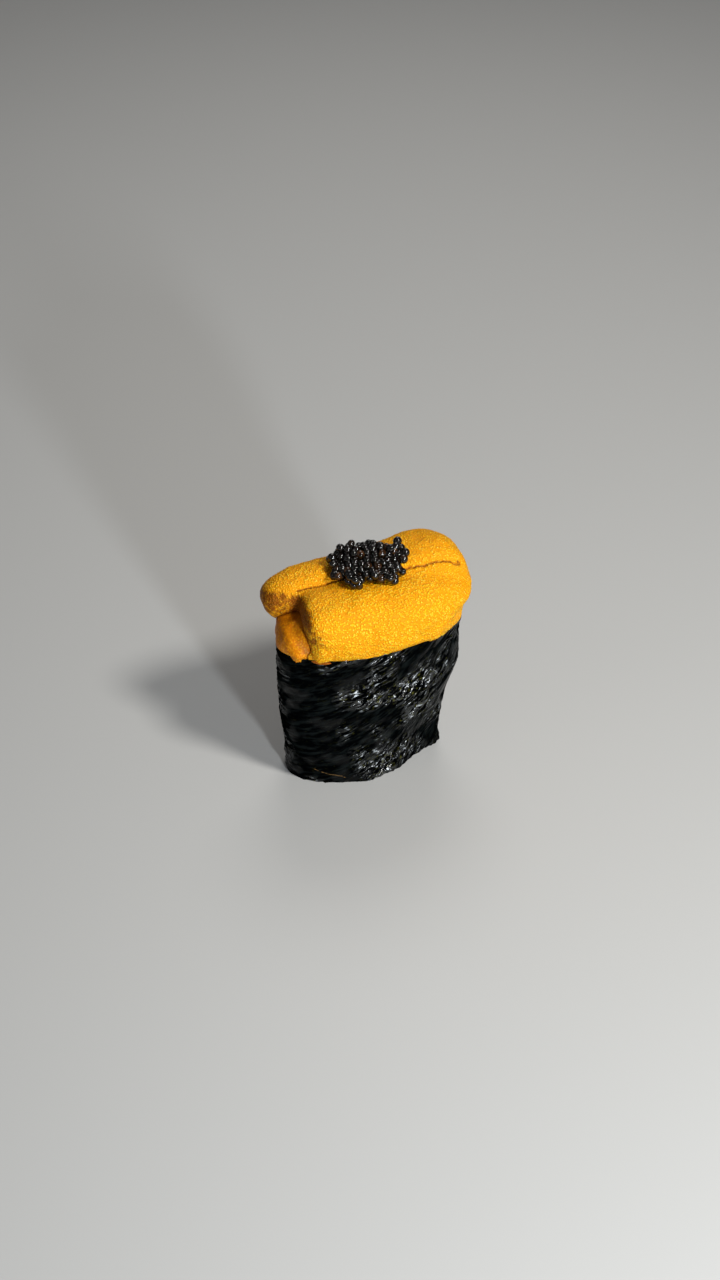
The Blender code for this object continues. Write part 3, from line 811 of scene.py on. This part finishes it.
under_mesh = papillate(skin("uni_lower_tongue", UNDER_CELL, UNDER_SMOOTH), UNDER_CELL, UNDER_RISE, 22)
drape(under_mesh, rim_ring)
settle(under_mesh, nearest_finder(tongue_mesh))
settle(under_mesh, band_finder)
store_hollow_shade(under_mesh, [nearest_finder(tongue_mesh), nearest_finder(under_mesh)], 32)
store(under_mesh, "crease", "FLOAT", np.full(len(under_mesh.vertices), 10.0))
store(under_mesh, "end_shade", "FLOAT", np.zeros(len(under_mesh.vertices)))
under = add_object("urchin_under_tongue", joined("urchin_under_tongue", [under_mesh, flake_mesh()]))
smooth_piece(under, urchin_material("urchin_smooth_skin", UNDER_COLOURS, 1700.0, 0.2, 0.0))
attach(under, "root")
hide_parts("uni_lower_tongue")


# Caviar
# A small spoonful of sturgeon roe on the crease: round glossy grains, wet and nearly black. Some grains are
# brown, partly their own tone and partly painted light shining through them. They lie two deep over a dark wet core.
EGG_SIZE = 2.45
EGG_SPACING = 1.72
EGG_LAYERS = (1.2, 2.1)
EGG_CORE = 1.5
EGG_SCALES = (0.8, 1.08)
EGG_SUBDIVISIONS = 2
MOUND_CELL = 0.7
MOUND_SMOOTH = 10


def egg_tree():
    """Eggs set in layers under a mound's face, with a core under them."""
    names = ("Spacing", "Size", "Core depth", *(f"Layer {number} depth" for number in range(len(EGG_LAYERS))))
    tree, given, result = new_geometry_tree("caviar_eggs", names)
    normal = tree.nodes.new("GeometryNodeInputNormal").outputs[0]

    def sunk(depth):
        down = calc(tree, "MULTIPLY", depth, -1.0)
        inputs = {0: normal, "Scale": down}
        offset = add_node(tree, "ShaderNodeVectorMath", inputs, operation="SCALE").outputs[0]
        inputs = {"Geometry": given["Geometry"], "Offset": offset}
        return add_node(tree, "GeometryNodeSetPosition", inputs).outputs[0]

    ball = add_node(tree, "GeometryNodeMeshIcoSphere",
                    {"Subdivisions": EGG_SUBDIVISIONS, "Radius": calc(tree, "MULTIPLY", given["Size"], 0.5)})
    everything = add_node(tree, "GeometryNodeJoinGeometry")
    for number in range(len(EGG_LAYERS)):
        face = sunk(given[f"Layer {number} depth"])
        inputs = {"Mesh": face, "Distance Min": given["Spacing"], "Density Max": 1e7, "Seed": 11 + number}
        spots = add_node(tree, "GeometryNodeDistributePointsOnFaces", inputs, distribute_method="POISSON")
        inputs = {"Geometry": spots.outputs["Points"], "Name": "tint", "Value": random_number(tree, 0.0, 1.0, number)}
        marked = add_node(tree, "GeometryNodeStoreNamedAttribute", inputs, data_type="FLOAT", domain="POINT")
        spans = {axis: random_number(tree, *EGG_SCALES, 31 + 5 * number + place)
                 for place, axis in enumerate("XYZ")}
        scale = add_node(tree, "ShaderNodeCombineXYZ", spans)
        inputs = {"Points": marked.outputs[0], "Instance": ball.outputs["Mesh"], "Scale": scale.outputs[0],
                  "Rotation": spots.outputs["Rotation"]}
        eggs = add_node(tree, "GeometryNodeInstanceOnPoints", inputs).outputs[0]
        tree.links.new(eggs, everything.inputs[0])
    tree.links.new(sunk(given["Core depth"]), everything.inputs[0])
    tree.links.new(finished_instances(tree, everything.outputs[0], given["Material"]), result["Geometry"])
    return tree


def caviar_material():
    material, tree, shader = new_material("caviar_shell", Coat_Weight=0.4, Coat_Roughness=0.02,
                                          Coat_IOR=2.1, Specular_IOR_Level=0.05)
    place = add_node(tree, "ShaderNodeTexCoord").outputs["Object"]
    cloud = noise_at(tree, place, 700.0, 2.0)
    # Some grains are brown: partly their own tone, partly painted light shining through them.
    brown = calc(tree, "MULTIPLY", ranged(tree, attribute(tree, "tint"), 0.65, 1.0), ranged(tree, cloud, 0.4, 0.6))
    colour = blended(tree, brown, (0.0035, 0.0024, 0.0018), (0.060, 0.022, 0.005))
    bump = add_node(tree, "ShaderNodeBump", {"Strength": 0.25, "Distance": 0.08 * MM, "Height": cloud})
    tree.links.new(colour, shader.inputs["Base Color"])
    tree.links.new(ranged(tree, cloud, 0.3, 0.7, 0.08, 0.22), shader.inputs["Roughness"])
    tree.links.new(bump.outputs["Normal"], shader.inputs["Normal"])
    return material


mound = add_object("mound", skin("caviar", MOUND_CELL, MOUND_SMOOTH))
caviar_finish = caviar_material()
egg_values = {"Spacing": EGG_SPACING * MM, "Size": EGG_SIZE * MM, "Core depth": EGG_CORE * MM,
              "Material": caviar_finish}
egg_values |= {f"Layer {number} depth": depth * MM for number, depth in enumerate(EGG_LAYERS)}
caviar = add_object("caviar_mound", grown_mesh(mound, egg_tree(), egg_values))
smooth_piece(caviar, caviar_finish)
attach(caviar, "root")
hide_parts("caviar")


# Studio
# A pale floor, a large soft key light from the right of the camera, a weak fill from its left and a soft light
# from behind that draws the top edge.
FLOOR_REACH = 3000.0
FLOOR_COLOUR = (0.50, 0.50, 0.49)
WORLD_COLOUR = (0.86, 0.87, 0.90)
WORLD_STRENGTH = 0.09
LIGHTS = (
    ("key_light", (36.0, 50.0), 620.0, 120.0, 2.9, (1.0, 0.98, 0.94)),
    ("low_light", (4.0, 14.0), 560.0, 50.0, 2.3, (0.90, 0.95, 1.0)),
    ("fill_light", (-78.0, 30.0), 700.0, 420.0, 0.15, (0.92, 0.96, 1.0)),
    ("back_light", (158.0, 48.0), 620.0, 300.0, 0.9, (1.0, 0.98, 0.95)),
)
CAMERA_TURN = -19.0
CAMERA_RISE = 37.4
CAMERA_DISTANCE = 600.0
CAMERA_TARGET = 38.0
CAMERA_SHIFT = -1.0
SENSOR = 36.0
FOCAL_PIXELS = 2273.0
PHOTO_HEIGHT = 1280.0


def sight(turn, rise):
    """Direction from the object towards a light or camera, turned from the front and raised."""
    turn, rise = math.radians(turn), math.radians(rise)
    return Vector((math.sin(turn) * math.cos(rise), -math.cos(turn) * math.cos(rise), math.sin(rise)))


def aim(made, back):
    made.rotation_mode = "QUATERNION"
    made.rotation_quaternion = back.to_track_quat("Z", "Y")


bm = bmesh.new()
bmesh.ops.create_circle(bm, cap_ends=True, segments=96, radius=FLOOR_REACH * MM)
floor_mesh = bpy.data.meshes.new("floor")
bm.to_mesh(floor_mesh)
bm.free()
floor = add_object("floor", floor_mesh)
floor_material, floor_tree, floor_shader = new_material("pale_floor", Roughness=0.65)
floor_shader.inputs["Base Color"].default_value = (*FLOOR_COLOUR, 1.0)
smooth_piece(floor, floor_material)

middle = Vector((0.0, 0.0, CAMERA_TARGET * MM))
for name, (turn, rise), distance, size, power, colour in LIGHTS:
    light = bpy.data.lights.new(name, "AREA")
    light.shape = "DISK"
    light.size = size * MM
    light.energy = power
    light.color = colour
    lamp = bpy.data.objects.new(name, light)
    bpy.context.scene.collection.objects.link(lamp)
    lamp.location = middle + sight(turn, rise) * distance * MM
    aim(lamp, sight(turn, rise))

world = bpy.data.worlds.new("studio")
world.use_nodes = True
world.node_tree.nodes["Background"].inputs["Color"].default_value = (*WORLD_COLOUR, 1.0)
world.node_tree.nodes["Background"].inputs["Strength"].default_value = WORLD_STRENGTH
bpy.context.scene.world = world

lens = bpy.data.cameras.new("camera")
lens.sensor_width = SENSOR
lens.lens = FOCAL_PIXELS * SENSOR / PHOTO_HEIGHT
lens.clip_start = 0.01
camera = bpy.data.objects.new("camera", lens)
bpy.context.scene.collection.objects.link(camera)
back = sight(CAMERA_TURN, CAMERA_RISE)
right = Vector((math.cos(math.radians(CAMERA_TURN)), math.sin(math.radians(CAMERA_TURN)), 0.0))
camera.location = middle + right * CAMERA_SHIFT * MM + back * CAMERA_DISTANCE * MM
aim(camera, back)
bpy.context.scene.camera = camera
bpy.context.scene.view_settings.view_transform = "Standard"
